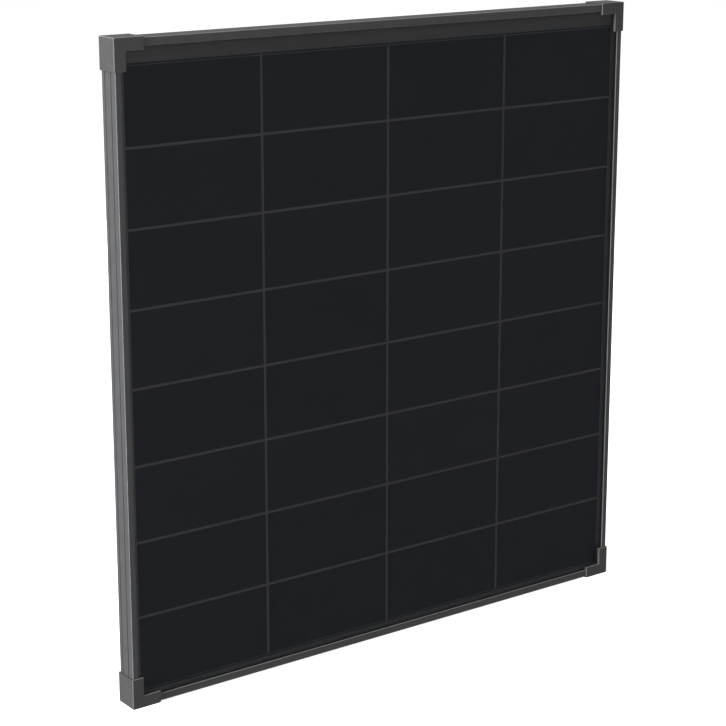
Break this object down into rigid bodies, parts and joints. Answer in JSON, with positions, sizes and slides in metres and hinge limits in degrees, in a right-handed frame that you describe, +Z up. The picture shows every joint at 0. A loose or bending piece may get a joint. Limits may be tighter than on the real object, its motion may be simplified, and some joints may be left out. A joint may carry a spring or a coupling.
{
  "type": "solar panel",
  "caption": "Black framed photovoltaic panel: glass laminate of half-cut cells in grooved mitred rails with plastic corner caps, and a rear junction box with a hinged lid.",
  "frame": {"origin": "on the standing surface under the middle of the panel, halfway through its depth", "axes": "+Z up along the panel's height, +Y towards its rear, +X to the right seen from the front"},
  "size_m": [0.7632, 0.0332, 0.7932],
  "materials": {
    "black_anodised": "satin black anodised extrusion",
    "solar_glass": "tempered low-iron glass, smooth",
    "clear_encapsulant": "clear, cured",
    "silicon_cells": "anti-reflection coated, near black",
    "black_ribbon": "black-coated flat ribbon",
    "tinned_copper": "tinned flat ribbon",
    "black_encapsulant": "pigmented, cured",
    "black_backsheet": "matt film",
    "seal_foam": "closed-cell tape",
    "label_film": "blank silver film",
    "silicone": "black, cured bead",
    "box_plastic": "fine moulded texture",
    "gasket_rubber": "soft, matt",
    "steel": "bright",
    "terminal_brass": "stamped sheet",
    "diode_body": "moulded epoxy with tinned leads",
    "bare_aluminium": "die cast",
    "cap_plastic": "fine moulded texture"
  },
  "bodies": {
    "panel": {"front_glass": "solar_glass", "front_encapsulant": "clear_encapsulant", "solar_cells": "silicon_cells", "cell_interconnects": "tinned_copper", "bus_ribbons": "black_ribbon", "bus_leads": "tinned_copper", "rear_encapsulant": "black_encapsulant", "backsheet": "black_backsheet", "edge_seal": "seal_foam", "rating_label": "label_film", "junction_box_adhesive": "silicone", "junction_box_base": "box_plastic", "junction_box_gasket": "gasket_rubber", "hinge_pin": "steel", "gland_seals": "gasket_rubber", "gland_bodies": "box_plastic", "gland_locknuts": "box_plastic", "terminal_plates": "terminal_brass", "bypass_diodes": "diode_body", "terminal_screws": "steel", "frame_rail_bottom": "black_anodised", "frame_rail_top": "black_anodised", "frame_rail_left": "black_anodised", "frame_rail_right": "black_anodised", "corner_key_bottom_left": "bare_aluminium", "corner_cap_bottom_left": "cap_plastic", "corner_key_bottom_right": "bare_aluminium", "corner_cap_bottom_right": "cap_plastic", "corner_key_top_left": "bare_aluminium", "corner_cap_top_left": "cap_plastic", "corner_key_top_right": "bare_aluminium", "corner_cap_top_right": "cap_plastic"},
    "box_lid": {"junction_box_lid": "box_plastic"},
    "left_nut": {"gland_nut_left": "box_plastic"},
    "right_nut": {"gland_nut_right": "box_plastic"}
  },
  "joints": [
    {"name": "lid_hinge", "type": "hinge", "parent": "panel", "child": "box_lid", "pos_m": [0, 0.0065, 0.7556], "axis": [1, 0, 0], "range_deg": [0, 110]},
    {"name": "left_nut_turn", "type": "hinge", "parent": "panel", "child": "left_nut", "pos_m": [-0.03, 0.00185, 0.663], "axis": [0, 0, 1], "continuous": true},
    {"name": "right_nut_turn", "type": "hinge", "parent": "panel", "child": "right_nut", "pos_m": [0.03, 0.00185, 0.663], "axis": [0, 0, 1], "continuous": true}
  ]
}
